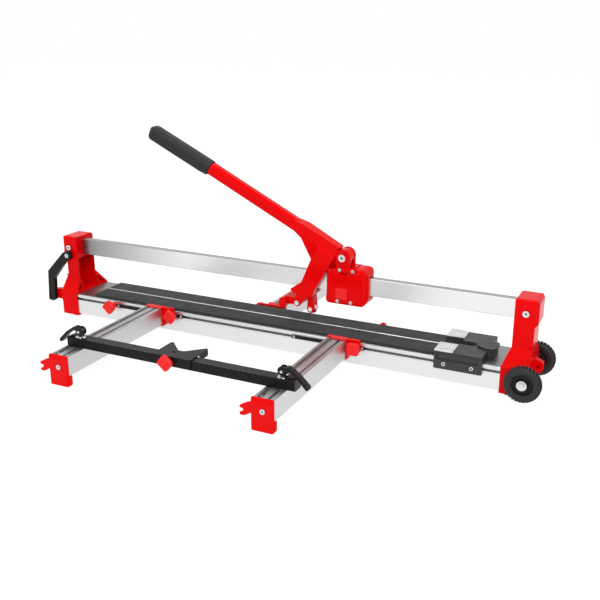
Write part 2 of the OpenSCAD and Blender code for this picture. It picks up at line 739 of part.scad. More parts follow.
// Draws children with X along the bar from the pivot, and Z across its depth
module bar_frame() {
    translate([pivot[0], 0, pivot[1]]) rotate([0, -lever_slope, 180]) children();
}

// Where the rail passes between the lever's legs, over the whole swing
module rail_window() {
    over = rail_z1 + 1.2 - pivot[1];
    under = rail_z0 - 1.2 - pivot[1];
    up = -lever_raise - 0.6;
    down = lever_drop + 0.6;
    across(-leg_in, leg_in) polygon([pivot + turned([-140, over], down), pivot + turned([20, over], down),
        pivot + turned([20, under], up), pivot + turned([-140, under], up)]);
}

module lever_arm() {
    half_bar = bar_d / 2;
    bar_section = mirrored([[half_bar - 2, -half_bar], [half_bar, 2 - half_bar],
        [half_bar, half_bar * 0.54], [half_bar / 2, half_bar]]);
    bend = on_bar(102, -half_bar);
    throat = pivot + [-73, -11];
    crease = [on_bar(128, half_bar * 0.54), pivot + [-86, 56], pivot + [-55, 16]];
    leg = [heel + [-11, 33], pivot + [-68, -11.5], pivot + [-53.4, 13.7], pivot + [-18, -4], heel + [17, 16]];
    leg_root = [leg[0], leg[1], leg[2] + [1, 8], leg[3] + [1, 8], leg[4]];
    foot = [heel + [-9, -1], heel + [14, 6], heel + [17, 16], heel + [-11, 33], heel + [-38, 15]];
    color(red) difference() {
        union() {
            bar_frame() along(104, lever_l - grip_l) rounded(bar_section, 1.2);
            bar_frame() along(lever_l - grip_l - e, lever_l - 40) rounded_box(-7, 7, -7, 7, 2);
            // web with a ridge that runs from the bar down to the legs
            // fills the corner under the bend
            across(-hub_half - 1, hub_half + 1) polygon([on_bar(128, 1 - half_bar), on_bar(118, 1 - half_bar),
                on_bar(109, -half_bar - 1.5), between(bend, throat, 0.16) + [-1.2, 1], throat + [0.5, 0.5],
                pivot + [-30, 10], on_bar(128, 0)]);
            hull() {
                across(-hub_half - 1, hub_half + 1) polygon([bend + [-0.4, 1.4], throat,
                    pivot + [-20, -6], on_bar(16, half_bar), on_bar(128, half_bar * 0.8)]);
                across(-half_bar, half_bar) polygon([crease[0], on_bar(104, -half_bar * 0.8), on_bar(104, half_bar * 0.54)]);
                across(-14, 14) polygon([crease[1], crease[2], crease[1] + [1, 1]]);
            }
            across(-hub_half, hub_half) {
                translate(pivot) circle(15.5);
                polygon([throat, pivot + [-62, -37], pivot + [-30, -37], pivot + [-12, -8], pivot + [-20, 12]]);
            }
            // two legs that straddle the rail
            both_sides() hull() {
                across(leg_out - 0.6, leg_out) polygon(leg);
                across(leg_in - 2, leg_in - 1) polygon(leg_root);
            }
            // foot that joins the legs below the rail, with the lugs of the breaker foot
            across(-leg_out, leg_out) rounded(foot, [5, 3, 0, 0, 3]);
            both_sides() across(14.2, leg_out) {
                translate(breaker) circle(8);
                polygon([breaker + [-6, 5], breaker + [8, 0], heel + [4, 3], heel + [-22, 8]]);
            }
        }
        rail_window();
        pin_y(pivot, -leg_out, leg_out, pivot_r + fit);
        both_sides() pin_y(pivot, hub_half, leg_out + 1, ear_r + 0.8);
        both_sides() block(pivot[0] - 16, pivot[0] + 20, hub_half, leg_out + 1, carriage_z1, pivot[1]);
        pin_y(breaker, -leg_out - 1, leg_out + 1, pin_r);
        across(-14.2, 14.2) translate(breaker) circle(9.5);
        // pocket between the legs above the rail
        pin_y(pivot + [-44, -26], -hub_half + 3, hub_half - 3, 1);
    }
}

module grip() {
    g = bar_d / 2 + 3.4;
    s0 = lever_l - grip_l + 0.3;
    side = [[s0, 2.4 - g], [s0 + 20, -g], [lever_l, -g], [lever_l, g], [s0, g]];
    plan = [[s0, -g], [lever_l, -g], [lever_l, g], [s0, g]];
    section = mirrored([[g - 3, -g], [g, 4 - g], [g, g * 0.42], [g / 2, g]]);
    color(dark) bar_frame() difference() {
        // the grip hangs a little below the bar's line
        translate([s0, 0, -1.5]) rotate([0, 0.6, 0]) translate([-s0, 0, 0]) intersection() {
            along(s0, lever_l) rounded(section, 2.5);
            across(-g, g) rounded(side, [1, 8, 15, 14, 1]);
            translate([0, 0, -g]) linear_extrude(2 * g) rounded(plan, [1, 14, 14, 1]);
        }
        along(s0 - 5, lever_l - 40) rounded_box(-7, 7, -7, 7, 2);
    }
}

// Fork that carries the cutting wheel, screwed under the lever's foot
module wheel_holder() {
    sole = [heel + [-9, -1], heel + [14, 6]];
    seat = [between(sole[0], sole[1], 0.36), between(sole[0], sole[1], 0.86)];
    color(red) difference() {
        union() {
            across(-9, 9) {
                polygon([seat[0], cutter + [-8, 6], cutter + [8, 6], seat[1]]);
                translate(cutter) circle(8.5);
            }
        }
        pin_y(cutter, -12, 12, pin_r);
        across(-3.4, 3.4) translate(cutter) circle(cutter_r + 2.5);
    }
}

module lever_pins() {
    color(steel) {
        pin_y(cutter, -10, 10, pin_r);
        head_y(cutter, -9, 4.4, 2.4);
        pin_y(breaker, -leg_out, leg_out + 1, pin_r);
        head_y(breaker, -leg_out, 5, 2.6);
        pin_y(breaker, leg_out, leg_out + 3, 5);
    }
}

// Foot that presses the tile down on both sides of the scored line
module breaker_foot() {
    tip = breaker + [-34, -2];
    sole_z = tip[1] - 10;
    color(red) difference() {
        union() {
            across(-13.8, 13.8) {
                translate(breaker) circle(7.5);
                polygon([breaker + [1, 7.4], breaker + [-30, 9], breaker + [-34, -8], breaker + [-3, -7]]);
            }
            across(-breaker_half, breaker_half)
                rounded([tip + [-8, -7], tip + [-3, -10], tip + [8, -10], tip + [10, 4], tip + [4, 11],
                    tip + [-5, 8]], [2, 2, 2, 3, 4, 4]);
        }
        pin_y(breaker, -20, 20, pin_r + fit);
        // gap over the scored line
        along(tip[0] - 12, tip[0] + 12) translate([-4, sole_z - 1]) square([8, 4]);
    }
}

module cutting_wheel() {
    color(steel) translate([cutter[0], 0, cutter[1]]) rotate([90, 0, 0]) rotate_extrude()
        polygon([[pin_r + fit, -3], [cutter_r - 5, -3], [cutter_r - 3, -1.6], [cutter_r, 0],
            [cutter_r - 3, 1.6], [cutter_r - 5, 3], [pin_r + fit, 3]]);
}

// ---------------------------------------------------------------- side arms

// Places children for an arm: drawn as a front arm with its middle at x = 0
module at_left() { translate([arm_left_x, 0, 0]) children(); }
module at_right() { translate([arm_right_x, 0, 0]) children(); }
module at_rear() { translate([arm_rear_x, 0, 0]) rotate([0, 0, 180]) children(); }

module arm_outline() {
    half = arm_w / 2;
    difference() {
        rounded_box(-half, half, arm_z0, arm_z1, 1);
        // scale recess and the ridges beside it
        translate([scale_slot[0], arm_z1 - 1.4]) square([scale_slot[1], 2]);
        for (i = [0 : 1]) translate([1.6 - half + 1.9 * i, arm_z1 - 0.5]) square([0.9, 1]);
        translate([arm_slot[0], arm_z1]) t_slot(arm_slot[1], 2.4, arm_slot[1] + 5, 4.5);
        // hollow cells
        translate([arm_wall - half, arm_z0 + arm_wall]) square([arm_w - 2 * arm_wall, arm_h - 16]);
        translate([arm_wall - half, arm_z0 + arm_wall])
            square([half + arm_slot[0] - arm_slot[1] / 2 - 2.5 - 2 * arm_wall, arm_h - 3.6 - 2 * arm_wall]);
    }
}

module arm() {
    color(alu) across(-arm_y1, -arm_y0) arm_outline();
}

module arm_left() { at_left() arm(); }
module arm_right() { at_right() arm(); }
module arm_rear() { at_rear() arm(); }

// End cap with a floor foot and a forked hook on its left side
module cap() {
    half = arm_w / 2;
    z1 = arm_z1 + 0.4;
    screw_z = arm_z0 + 17;
    left = -half - 2.6;
    face = [[left, 0], [half + 0.2, 0], [half + 0.2, z1], [left, z1]];
    // top and side edges slope back from the front face
    bevel_top = [[-cap_y1, 0], [-arm_y1 + 6, 0], [-arm_y1 + 6, arm_z0 - 0.1], [-arm_y1, arm_z0 - 0.1],
        [-arm_y1, z1], [-arm_y1 - 1.6, z1], [-cap_y1, z1 - 8.5]];
    bevel_side = [[left, -arm_y1 + 6], [left, -arm_y1 - 4], [left + 2, -cap_y1],
        [half - 3, -cap_y1], [half + 0.2, -arm_y1 - 2.5], [half + 0.2, -arm_y1 + 6]];
    hook = [[-half + 1, 33], [-half - 16, 23.5], [-half - 24, 24], [-half - 24.5, 28.5], [-half - 17, 31],
        [-half - 18, 36.5], [-half - 24.5, 37.5], [-half - 24, 42], [-half - 9, 50], [-half + 1, 51]];
    color(red) difference() {
        union() {
            intersection() {
                across(-cap_y1, -arm_y1 + 6) rounded(face, [1.5, 1.5, 2, 2]);
                along(left - 1, half + 1) polygon(bevel_top);
                linear_extrude(z1) polygon(bevel_side);
            }
            across(-cap_y1 + 1, -arm_y1) rounded(hook, [0, 4, 1.5, 1, 1, 1, 1, 1.5, 3, 0]);
            block(half - 1, half + 1.8, -arm_y1 - 1, -arm_y1 + 6, 4, arm_z0 - 0.1);
        }
        pin_y([0, screw_z], -cap_y1 - 1, -arm_y1 + 7, 2.6);
        pin_y([0, screw_z], -cap_y1 - 1, -cap_y1 + 1.6, 5.6);
    }
}

module cap_left() { at_left() cap(); }
module cap_right() { at_right() cap(); }
module cap_rear() { at_rear() cap(); }

module cap_screw() {
    p = [0, arm_z0 + 17];
    color(steel) {
        pin_y(p, -cap_y1 + 1.6, -arm_y1 + 6, 2.5);
        head_y(p, -cap_y1 + 1.6, 5, 2.4);
    }
}

module cap_screw_left() { at_left() cap_screw(); }
module cap_screw_right() { at_right() cap_screw(); }
module cap_screw_rear() { at_rear() cap_screw(); }

// Collar on the arm's inner end, with the ear that its knob clamps to the bed
module bracket(knob_x) {
    half = arm_w / 2;
    wall = 2.4;
    y0 = -half_bed - gap - 10;
    y1 = -half_bed - gap;
    ear_x1 = half + 28;
    color(red) difference() {
        union() {
            across(y0, y1) rounded_box(-half - 1.6, half + wall, arm_z0 - wall, arm_z1 + 1.6, 1.5);
            block(-half + 9, half + wall, y0 - 7, y0 + 1, arm_z1 + 0.1, arm_z1 + 1.6);
            across(-half_bed - gap - ear_t, y1) {
                rounded_box(half + 1, ear_x1, slot_z - 9, arm_z1 + 1, [3, 3, 5, 0]);
                polygon([[half + 1, arm_z0 + 5], [half + 12, slot_z - 8], [half + 12, slot_z + 4],
                    [half + 1, slot_z + 4]]);
            }
        }
        block(-half - 0.1, half + 0.1, y0 - 1, -arm_y0 + 0.1, arm_z0 - 0.1, arm_z1 + 0.1);
        pin_y([knob_x, slot_z], y0 - 1, y1 + 1, stud_r + fit);
    }
}

module bracket_left() { at_left() bracket(knob_left); }
module bracket_right() { at_right() bracket(knob_right); }
module bracket_rear() { at_rear() bracket(knob_rear); }

// Bar in the bed's slot that keeps the arm square; the knob's stud pulls it outwards
module guide_bar(ends, studs) {
    y1 = -half_bed + slot_lip + slot_deep;
    neck = slot_mouth / 2 - gap;
    wing = slot_wide / 2 - gap;
    free_x0 = len(studs) > 1 ? studs[1] + 8 : ends[0];
    color(dark) difference() {
        union() {
            along(ends[0], ends[1]) {
                translate([0.5 - half_bed, slot_z - neck]) square([slot_lip + 1, 2 * neck]);
                translate([slot_lip + gap - half_bed, slot_z - wing]) square([slot_deep - 2 * gap, 2 * wing]);
            }
            // outer strip on both sides of the arm's bracket
            for (x = [[free_x0, -arm_w / 2 - 3], [arm_w / 2 + 29, ends[1]]]) along(x[0], x[1]) {
                translate([-half_bed - 2.2, slot_z - 3.6]) square([2.2 - gap, 7.2]);
                translate([-half_bed - 1, slot_z - neck]) square([2, 2 * neck]);
            }
        }
        for (x = studs) pin_y([x, slot_z], -half_bed - 3, y1, stud_r + fit);
        for (x = [free_x0 + 5, free_x0 + 34, ends[1] - 4]) pin_y([x, slot_z], -half_bed - 3, y1, 1.6);
    }
}

module guide_bar_left() { at_left() guide_bar(bar_long, [knob_left, outer_knob]); }
module guide_bar_right() { at_right() guide_bar(bar_short, [knob_right]); }
module guide_bar_rear() { at_rear() guide_bar(bar_short, [knob_rear]); }

module arm_knob(x, neck, turn) {
    knob(x, slot_z, -half_bed - gap - ear_t - gap, neck, -half_bed + slot_lip + slot_deep - 1, turn);
}

module knob_left() { color(red) at_left() arm_knob(knob_left, 4.4, 35); }
module knob_right() { color(red) at_right() arm_knob(knob_right, 4.4, 0); }
module knob_rear() { color(red) at_rear() arm_knob(knob_rear, 0, 45); }

// Clamping knob whose neck bears straight on the bed
module slot_knob(x, neck) {
    knob(x, slot_z, -half_bed - gap, neck, -half_bed + slot_lip + slot_deep - 1, 42);
}

module slot_knob_front() { color(red) at_left() slot_knob(outer_knob, 16); }

// Spare knob; a flange on its stud is captive in the bed's slot
module slot_knob_rear() {
    color(red) rotate([0, 0, 180]) {
        slot_knob(-slot_knob_rear_x, 3);
        pin_y([-slot_knob_rear_x, slot_z], -half_bed + slot_lip + gap, -half_bed + slot_lip + 2, slot_wide / 2 - gap);
    }
}

// ---------------------------------------------------------------- fence

module fence_bar() {
    y0 = fence_mid - fence_d / 2;
    color(dark) difference() {
        along(fence_x0 + 2, fence_x1 - 2) difference() {
            rounded_box(y0, y0 + fence_d, fence_z0, fence_z1, 1.5);
            rounded_box(y0 + 2, y0 + fence_d - 2, fence_z0 + 2, fence_z1 - 2, 0.8);
        }
        for (x = [clamp_left_x, clamp_right_x])
            translate([x, fence_mid, fence_z0 - 1]) cylinder(r = 3.4, h = fence_h + 2);
    }
}

module fence_plug(x, out) {
    y0 = fence_mid - fence_d / 2;
    along(min(x, x + 2 * out), max(x, x + 2 * out)) rounded_box(y0, y0 + fence_d, fence_z0, fence_z1, 1.5);
    along(min(x, x - 8 * out), max(x, x - 8 * out))
        rounded_box(y0 + 2.1, y0 + fence_d - 2.1, fence_z0 + 2.1, fence_z1 - 2.1, 0.8);
}

module fence_plugs() {
    color(dark) {
        fence_plug(fence_x0 + 2, -1);
        fence_plug(fence_x1 - 2, 1);
    }
}

// Cam lever drawn pointing to -X, with its pivot at the origin and two cheeks beside the stud's eye
module cam_lever() {
    color(dark) difference() {
        union() {
            across(-5.6, 5.6) rounded([[0, 7], [-12, 9.4], [-32, -4], [-50, -21.5], [-50.5, -27], [-45, -27.5],
                [-29, -9.5], [-13, 2], [-2, -2]], [0, 6, 12, 3, 2, 2, 8, 3, 0]);
            across(-5.6, 5.6) circle(cam_r);
        }
        across(-3.6, 3.6) circle(cam_r + 1.5);
        across(-9, 9) circle(2.5 + fit);
    }
}

module cam_left() { translate([clamp_left_x, fence_mid, cam_z]) cam_lever(); }
module cam_right() { translate([clamp_right_x, fence_mid, cam_z]) mirror([1, 0, 0]) cam_lever(); }

// T-bolt from the arm's slot up to the cam pivot, its cross pin and the pressure plate
module clamp_stud(x) {
    slot_top = arm_z1 - 2.4;
    translate([x, fence_mid, 0]) {
        difference() {
            union() {
                translate([0, 0, slot_top - 3.4]) linear_extrude(3.1) square([8.4, 8.4], center = true);
                translate([0, 0, slot_top - 1]) cylinder(r = 2.3, h = cam_z - slot_top - 3);
                pin_y([0, cam_z], -3.2, 3.2, 5.5);
            }
            pin_y([0, cam_z], -4, 4, 2.5);
        }
        pin_y([0, cam_z], -9, 9, 2.5);
        difference() {
            block(-7, 7, -9, 9, fence_z1, cam_z - cam_r - gap);
            translate([0, 0, fence_z1]) cylinder(r = 2.6, h = 10);
        }
    }
}

module clamp_studs() {
    color(steel) {
        clamp_stud(clamp_left_x);
        clamp_stud(clamp_right_x);
    }
}

// Sheet metal stop: fishtail plate on the fence, folded down over the front and along its wings
module stop_plate() {
    half = 41;
    y0 = lip_y - plate_t;
    tail = fence_mid + 50;
    z0 = fence_z1 + gap;
    lip_z0 = fence_z0 + 3;
    color(dark) difference() {
        union() {
            translate([stop_x, 0, z0]) linear_extrude(plate_t)
                rounded([[-half, y0], [half, y0], [half, tail - 3], [half - 4, tail], [6, tail - 31], [-6, tail - 31],
                    [4 - half, tail], [-half, tail - 3]], [0.5, 0.5, 2, 2, 1, 1, 2, 2]);
            across(y0, lip_y) translate([stop_x, 0]) rounded_box(-half, half, lip_z0, z0 + plate_t, [1.5, 1.5, 0, 0]);
            for (s = [-1, 1]) along(stop_x + s * half - (s > 0 ? plate_t : 0), stop_x + s * half + (s > 0 ? 0 : plate_t))
                rounded([[fence_mid + fence_d / 2 + 6, z0 + e], [fence_mid + fence_d / 2 + 9, z0 - 11],
                    [tail - 3, z0 - 11], [tail - 3, z0 + e]], [0, 3, 3, 0]);
        }
        translate([stop_x - 9, fence_mid + 8, z0 - 1]) linear_extrude(4) rounded_box(-4.5, 4.5, -2, 2, 1.8);
        pin_y([stop_knob_x, fence_z0 + fence_h / 2], y0 - 1, lip_y + 1, stud_r + fit);
    }
}

module stop_knob() {
    color(red) knob(stop_knob_x, fence_z0 + fence_h / 2, lip_y - plate_t - gap, 3, lip_y - 0.1, 40);
}

// ---------------------------------------------------------------- assembly

base_beam();
tower_left();
tower_right();
guide_rail();
frame_bolts();
pads();
breaking_bead();
rubber_feet();
carry_handle();
axle_bolts();
corner_stop();
corner_plates();
corner_index();
slot_knob_front();
slot_knob_rear();
tyre_front();
tyre_rear();
hub_front();
hub_rear();
carriage_front();
carriage_rear();
pivot_bracket();
carriage_screws();
roller_pins();
pivot_bolt();
roller_lower_left();
roller_upper_left();
roller_lower_right();
roller_upper_right();
lever_arm();
grip();
wheel_holder();
lever_pins();
breaker_foot();
cutting_wheel();
arm_left();
arm_right();
arm_rear();
cap_left();
cap_right();
cap_rear();
cap_screw_left();
cap_screw_right();
cap_screw_rear();
bracket_left();
bracket_right();
bracket_rear();
guide_bar_left();
guide_bar_right();
guide_bar_rear();
knob_left();
knob_right();
knob_rear();
fence_bar();
fence_plugs();
cam_left();
cam_right();
clamp_studs();
stop_plate();
stop_knob();
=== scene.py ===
# %% [markdown]
# # A manual tile cutter, finished in Blender
#
# The machine itself is already built as exact solids: an aluminium bed, a guide rail held by two red
# towers, a carriage with the long scoring lever, three side arms with a fence, a corner stop and two
# wheels. This lesson loads those solids, keeps them where they are, and gives each one the finish of
# the real material. Small things that live on the surface, such as scale marks and screw recesses, are
# made here as well.

import json
import math

import bpy
import bmesh
from mathutils import Matrix, Vector

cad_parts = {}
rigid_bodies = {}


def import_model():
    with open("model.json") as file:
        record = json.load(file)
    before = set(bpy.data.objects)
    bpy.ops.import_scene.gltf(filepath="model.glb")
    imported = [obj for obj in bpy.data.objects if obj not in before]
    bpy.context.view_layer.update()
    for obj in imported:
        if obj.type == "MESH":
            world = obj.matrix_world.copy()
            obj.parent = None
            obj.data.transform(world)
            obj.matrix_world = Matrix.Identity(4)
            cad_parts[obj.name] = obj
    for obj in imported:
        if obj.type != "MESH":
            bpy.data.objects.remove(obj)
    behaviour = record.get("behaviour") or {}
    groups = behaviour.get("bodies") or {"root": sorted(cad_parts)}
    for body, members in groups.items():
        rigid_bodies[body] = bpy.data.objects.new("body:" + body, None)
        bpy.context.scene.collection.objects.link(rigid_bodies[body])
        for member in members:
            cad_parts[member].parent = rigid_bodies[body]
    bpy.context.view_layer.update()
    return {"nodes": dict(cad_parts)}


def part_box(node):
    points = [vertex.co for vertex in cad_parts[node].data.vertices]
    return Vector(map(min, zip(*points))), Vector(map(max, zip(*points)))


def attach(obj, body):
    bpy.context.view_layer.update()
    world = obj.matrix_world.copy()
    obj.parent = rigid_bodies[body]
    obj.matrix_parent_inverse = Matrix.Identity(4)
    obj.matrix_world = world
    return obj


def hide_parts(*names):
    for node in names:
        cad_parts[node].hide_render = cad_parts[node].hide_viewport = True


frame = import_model()
nodes = frame["nodes"]

# %% [markdown]
# ## Camera
#
# A product view needs a long lens from a little above. The camera stands in front of the machine, turned
# towards the wheel end, so that the fence side, the carriage and the wheels are all seen. The position is
# given in metres in the machine's own frame: X along the rail, Y across the bed, Z up.

# %% Place the camera
CAMERA_AT = (0.7914, -1.5275, 0.6820)
CAMERA_TURN = 25.75
CAMERA_DIP = 18.79
lens = bpy.data.cameras.new("product_camera")
lens.sensor_width = 36.0
lens.lens = 51.41
lens.clip_end = 50.0
camera = bpy.data.objects.new("product_camera", lens)
camera.location = CAMERA_AT
camera.rotation_euler = (math.radians(90 - CAMERA_DIP), 0.0, math.radians(CAMERA_TURN))
bpy.context.scene.collection.objects.link(camera)
bpy.context.scene.camera = camera
print("camera at", CAMERA_AT)

# %% [markdown]
# ## Floor and sky
#
# The machine stands on a white table in a white studio. The floor takes the soft shadow that ties the
# feet to the ground. Most of its brightness towards the camera is its own glow, at a strength just under
# one, and the light of the lamps adds the rest, so it stays white without any extra light falling on the
# machine. Mirror-like rays see the same white, so the metal has something bright to reflect.

# %% White floor that keeps a soft shadow
def link(tree, a, b):
    tree.links.new(a, b)


def camera_or_mirror(tree):
    """1 for rays that come from the camera, a mirror or glass, and 0 for diffuse light."""
    path = tree.nodes.new("ShaderNodeLightPath")
    first = tree.nodes.new("ShaderNodeMath")
    first.operation = "MAXIMUM"
    link(tree, path.outputs["Is Camera Ray"], first.inputs[0])
    link(tree, path.outputs["Is Glossy Ray"], first.inputs[1])
    second = tree.nodes.new("ShaderNodeMath")
    second.operation = "MAXIMUM"
    link(tree, first.outputs[0], second.inputs[0])
    link(tree, path.outputs["Is Transmission Ray"], second.inputs[1])
    return second.outputs[0]


def white_floor():
    mat = bpy.data.materials.new("studio_floor")
    mat.use_nodes = True
    tree = mat.node_tree
    tree.nodes.clear()
    out = tree.nodes.new("ShaderNodeOutputMaterial")
    matte = tree.nodes.new("ShaderNodeBsdfDiffuse")
    matte.inputs["Color"].default_value = (0.93, 0.93, 0.93, 1)
    seen = tree.nodes.new("ShaderNodeBsdfDiffuse")
    seen.inputs["Color"].default_value = (0.26, 0.26, 0.26, 1)
    glow = tree.nodes.new("ShaderNodeEmission")
    glow.inputs["Strength"].default_value = 0.86
    both = tree.nodes.new("ShaderNodeAddShader")
    link(tree, seen.outputs[0], both.inputs[0])
    link(tree, glow.outputs[0], both.inputs[1])
    mix = tree.nodes.new("ShaderNodeMixShader")
    link(tree, camera_or_mirror(tree), mix.inputs["Fac"])
    link(tree, matte.outputs[0], mix.inputs[1])
    link(tree, both.outputs[0], mix.inputs[2])
    link(tree, mix.outputs[0], out.inputs["Surface"])
    return mat


floor_mesh = bpy.data.meshes.new("floor")
floor_mesh.from_pydata([(-8, -8, 0), (8, -8, 0), (8, 8, 0), (-8, 8, 0)], [], [(0, 1, 2, 3)])
floor = bpy.data.objects.new("floor", floor_mesh)
floor.location.z = -0.0004
floor_mesh.materials.append(white_floor())
bpy.context.scene.collection.objects.link(floor)
print("floor laid")

# %% World light
world = bpy.data.worlds.new("studio")
bpy.context.scene.world = world
world.use_nodes = True
sky = world.node_tree
sky.nodes.clear()
sky_out = sky.nodes.new("ShaderNodeOutputWorld")
dim = sky.nodes.new("ShaderNodeBackground")
dim.inputs["Color"].default_value = (1, 1, 1, 1)
dim.inputs["Strength"].default_value = 0.55
bright = sky.nodes.new("ShaderNodeBackground")
bright.inputs["Color"].default_value = (1, 1, 1, 1)
bright.inputs["Strength"].default_value = 1.0
blend = sky.nodes.new("ShaderNodeMixShader")
link(sky, camera_or_mirror(sky), blend.inputs["Fac"])
link(sky, dim.outputs[0], blend.inputs[1])
link(sky, bright.outputs[0], blend.inputs[2])
link(sky, blend.outputs[0], sky_out.inputs["Surface"])
print("world set")

# %% [markdown]
# ## Lamps
#
# Two large soft boxes do most of the work: the main one in front and above on the wheel side, and a weaker
# one over the far end. A long narrow strip light adds little brightness, but rounded edges mirror it as the
# thin white line that tells the eye that the enamel is glossy.

# %% Soft boxes
def soft_box(name, at, towards, size, power):
    data = bpy.data.lights.new(name, "AREA")
    data.shape = "RECTANGLE"
    data.size = size[0]
    data.size_y = size[1]
    data.energy = power
    lamp = bpy.data.objects.new(name, data)
    lamp.location = at
    direction = Vector(towards) - Vector(at)
    lamp.rotation_euler = direction.to_track_quat("-Z", "Y").to_euler()
    bpy.context.scene.collection.objects.link(lamp)
    return lamp


soft_box("key_box", (1.6, -2.4, 2.2), (0, 0, 0.1), (2.2, 1.4), 52)
soft_box("top_box", (-0.6, 0.3, 2.6), (0, 0, 0.1), (2.4, 1.6), 26)
soft_box("strip_light", (0.2, -1.9, 2.3), (0, 0, 0.15), (2.6, 0.07), 9)
bpy.context.scene.view_settings.view_transform = "Standard"

# %% [markdown]
# ## Finishes
#
# Every finish starts from one recipe: a principled shader whose colour and roughness wander a little with
# a noise, a fine bump for the grain, and a rounded look on sharp edges from a bevel node. What differs is
# the numbers, and how the noise is stretched: long along an extrusion, round on a casting.

# %% The common recipe
def start_finish(name, colour, roughness, metallic=0.0, specular=0.5):
    mat = bpy.data.materials.new(name)
    mat.use_nodes = True
    tree = mat.node_tree
    shader = tree.nodes["Principled BSDF"]
    shader.inputs["Base Color"].default_value = (*colour, 1)
    shader.inputs["Roughness"].default_value = roughness
    shader.inputs["Metallic"].default_value = metallic
    shader.inputs["Specular IOR Level"].default_value = specular
    mat.diffuse_color = (*colour, 1)
    return mat, tree, shader


def noise(tree, scale, stretch=(1, 1, 1), detail=3.0):
    """Noise in the machine's own coordinates; a small stretch value draws it out along that axis."""
    place = tree.nodes.new("ShaderNodeTexCoord")
    mapping = tree.nodes.new("ShaderNodeMapping")
    mapping.inputs["Scale"].default_value = stretch
    link(tree, place.outputs["Object"], mapping.inputs["Vector"])
    tex = tree.nodes.new("ShaderNodeTexNoise")
    tex.inputs["Scale"].default_value = scale
    tex.inputs["Detail"].default_value = detail
    link(tree, mapping.outputs[0], tex.inputs["Vector"])
    return tex.outputs["Fac"]


def spread(tree, value, low, high):
    """Maps a noise, which stays near its middle, to the range low to high."""
    ramp = tree.nodes.new("ShaderNodeMapRange")
    ramp.inputs["From Min"].default_value = 0.3
    ramp.inputs["From Max"].default_value = 0.7
    ramp.inputs["To Min"].default_value = low
    ramp.inputs["To Max"].default_value = high
    link(tree, value, ramp.inputs["Value"])
    return ramp.outputs["Result"]


def two_tone(tree, factor, dark, light):
    mix = tree.nodes.new("ShaderNodeMix")
    mix.data_type = "RGBA"
    mix.inputs["A"].default_value = (*dark, 1)
    mix.inputs["B"].default_value = (*light, 1)
    link(tree, factor, mix.inputs["Factor"])
    return mix.outputs["Result"]


def surface(tree, shader, height, distance, edge):
    """Bump from a height, laid over edges that are rounded by the edge radius."""
    rounding = tree.nodes.new("ShaderNodeBevel")
    rounding.samples = 4
    rounding.inputs["Radius"].default_value = edge
    bump = tree.nodes.new("ShaderNodeBump")
    bump.inputs["Strength"].default_value = 1.0
    bump.inputs["Distance"].default_value = distance
    link(tree, height, bump.inputs["Height"])
    link(tree, rounding.outputs[0], bump.inputs["Normal"])
    link(tree, bump.outputs[0], shader.inputs["Normal"])


def dress(material, *names):
    """Gives CAD nodes a finish."""
    for n in names:
        mesh = nodes[n].data
        mesh.materials.clear()
        mesh.materials.append(material)


print("recipe ready")

# %% Red enamel, red plastic and the knobs
def shade(colour, factor):
    return tuple(min(1.0, c * factor) for c in colour)


RED = (0.75, 0.0004, 0.0012)


def painted(name, colour, roughness, grain, grain_depth, edge, specular=0.5):
    mat, tree, shader = start_finish(name, colour, roughness, specular=specular)
    wander = noise(tree, 9.0)
    link(tree, two_tone(tree, spread(tree, wander, 0, 1), shade(colour, 0.93), shade(colour, 1.05)),
         shader.inputs["Base Color"])
    link(tree, spread(tree, noise(tree, 60.0), roughness * 0.85, roughness * 1.2), shader.inputs["Roughness"])
    surface(tree, shader, noise(tree, grain), grain_depth, edge)
    return mat


red_enamel = painted("red_enamel", RED, 0.13, 120.0, 0.000006, 0.0011, specular=0.06)
red_moulded = painted("red_moulded", RED, 0.34, 500.0, 0.00004, 0.0006, specular=0.10)
knob_red = painted("knob_red", (0.84, 0.016, 0.018), 0.36, 500.0, 0.00004, 0.0012, specular=0.16)
dress(red_enamel, "tower_left", "tower_right", "carriage_front", "carriage_rear", "pivot_bracket",
      "lever_arm", "wheel_holder", "breaker_foot")
dress(red_moulded, "cap_left", "cap_right", "cap_rear", "bracket_left", "bracket_right", "bracket_rear")
dress(knob_red, "slot_knob_front", "slot_knob_rear", "knob_left", "knob_right", "knob_rear", "stop_knob")
print("red finishes done")

